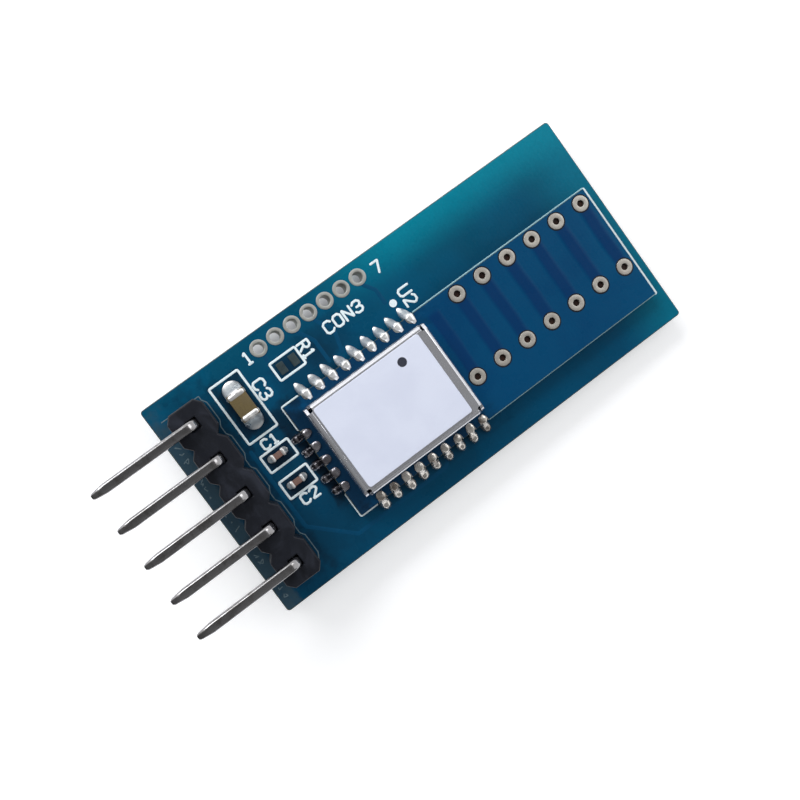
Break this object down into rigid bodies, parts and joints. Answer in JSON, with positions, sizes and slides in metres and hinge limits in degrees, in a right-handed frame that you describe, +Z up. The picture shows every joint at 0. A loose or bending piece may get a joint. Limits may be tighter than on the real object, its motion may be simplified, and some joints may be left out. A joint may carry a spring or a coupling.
{
  "type": "bluetooth module",
  "caption": "Small bluetooth radio module under a shield can, soldered by its castellated edge to a carrier board with a bent pin header.",
  "frame": {"origin": "centre of the carrier board's underside", "axes": "+X along the board from the header end to the aerial end, +Y across the board, +Z up out of the side that carries the module"},
  "size_m": [0.0366, 0.0152, 0.0061],
  "materials": {
    "carrier_laminate": "blue-green solder mask over glass and epoxy laminate, satin",
    "module_laminate": "deeper blue solder mask over glass and epoxy laminate, satin",
    "header_plastic": "moulded black plastic, slightly sheeny",
    "pin_metal": "bright tinned pins",
    "solder": "bright solder",
    "can_sheet": "plated sheet, lightly brushed",
    "label_paper": "smooth white label, bare",
    "ceramic": "fired ceramic, olive brown to red brown",
    "terminal_metal": "tinned ends",
    "crystal_metal": "plated lid",
    "chip_plastic": "moulded black package",
    "match_ceramic": "pale ceramic"
  },
  "bodies": {
    "root": {"can_fillet_lower": "solder", "can_fillet_upper": "solder", "can_label": "label_paper", "capacitor_c1_body": "ceramic", "capacitor_c1_end_a": "terminal_metal", "capacitor_c1_end_b": "terminal_metal", "capacitor_c1_fillet_a": "solder", "capacitor_c1_fillet_b": "solder", "capacitor_c2_body": "ceramic", "capacitor_c2_end_a": "terminal_metal", "capacitor_c2_end_b": "terminal_metal", "capacitor_c2_fillet_a": "solder", "capacitor_c2_fillet_b": "solder", "capacitor_c3_body": "ceramic", "capacitor_c3_end_a": "terminal_metal", "capacitor_c3_end_b": "terminal_metal", "capacitor_c3_fillet_a": "solder", "capacitor_c3_fillet_b": "solder", "carrier_board": "carrier_laminate", "crystal_clock": "crystal_metal", "crystal_radio": "crystal_metal", "edge_joint_end_1": "solder", "edge_joint_end_2": "solder", "edge_joint_end_3": "solder", "edge_joint_end_4": "solder", "edge_joint_end_5": "solder", "edge_joint_lower_1": "solder", "edge_joint_lower_2": "solder", "edge_joint_lower_3": "solder", "edge_joint_lower_4": "solder", "edge_joint_lower_5": "solder", "edge_joint_lower_6": "solder", "edge_joint_lower_7": "solder", "edge_joint_lower_8": "solder", "edge_joint_lower_9": "solder", "edge_joint_upper_1": "solder", "edge_joint_upper_2": "solder", "edge_joint_upper_3": "solder", "edge_joint_upper_4": "solder", "edge_joint_upper_5": "solder", "edge_joint_upper_6": "solder", "edge_joint_upper_7": "solder", "edge_joint_upper_8": "solder", "edge_joint_upper_9": "solder", "header_housing": "header_plastic", "header_joint_1": "solder", "header_joint_2": "solder", "header_joint_3": "solder", "header_joint_4": "solder", "header_joint_5": "solder", "header_pin_1": "pin_metal", "header_pin_2": "pin_metal", "header_pin_3": "pin_metal", "header_pin_4": "pin_metal", "header_pin_5": "pin_metal", "match_capacitor": "match_ceramic", "match_coil": "match_ceramic", "module_board": "module_laminate", "radio_chip": "chip_plastic", "shield_can": "can_sheet"}
  },
  "joints": []
}
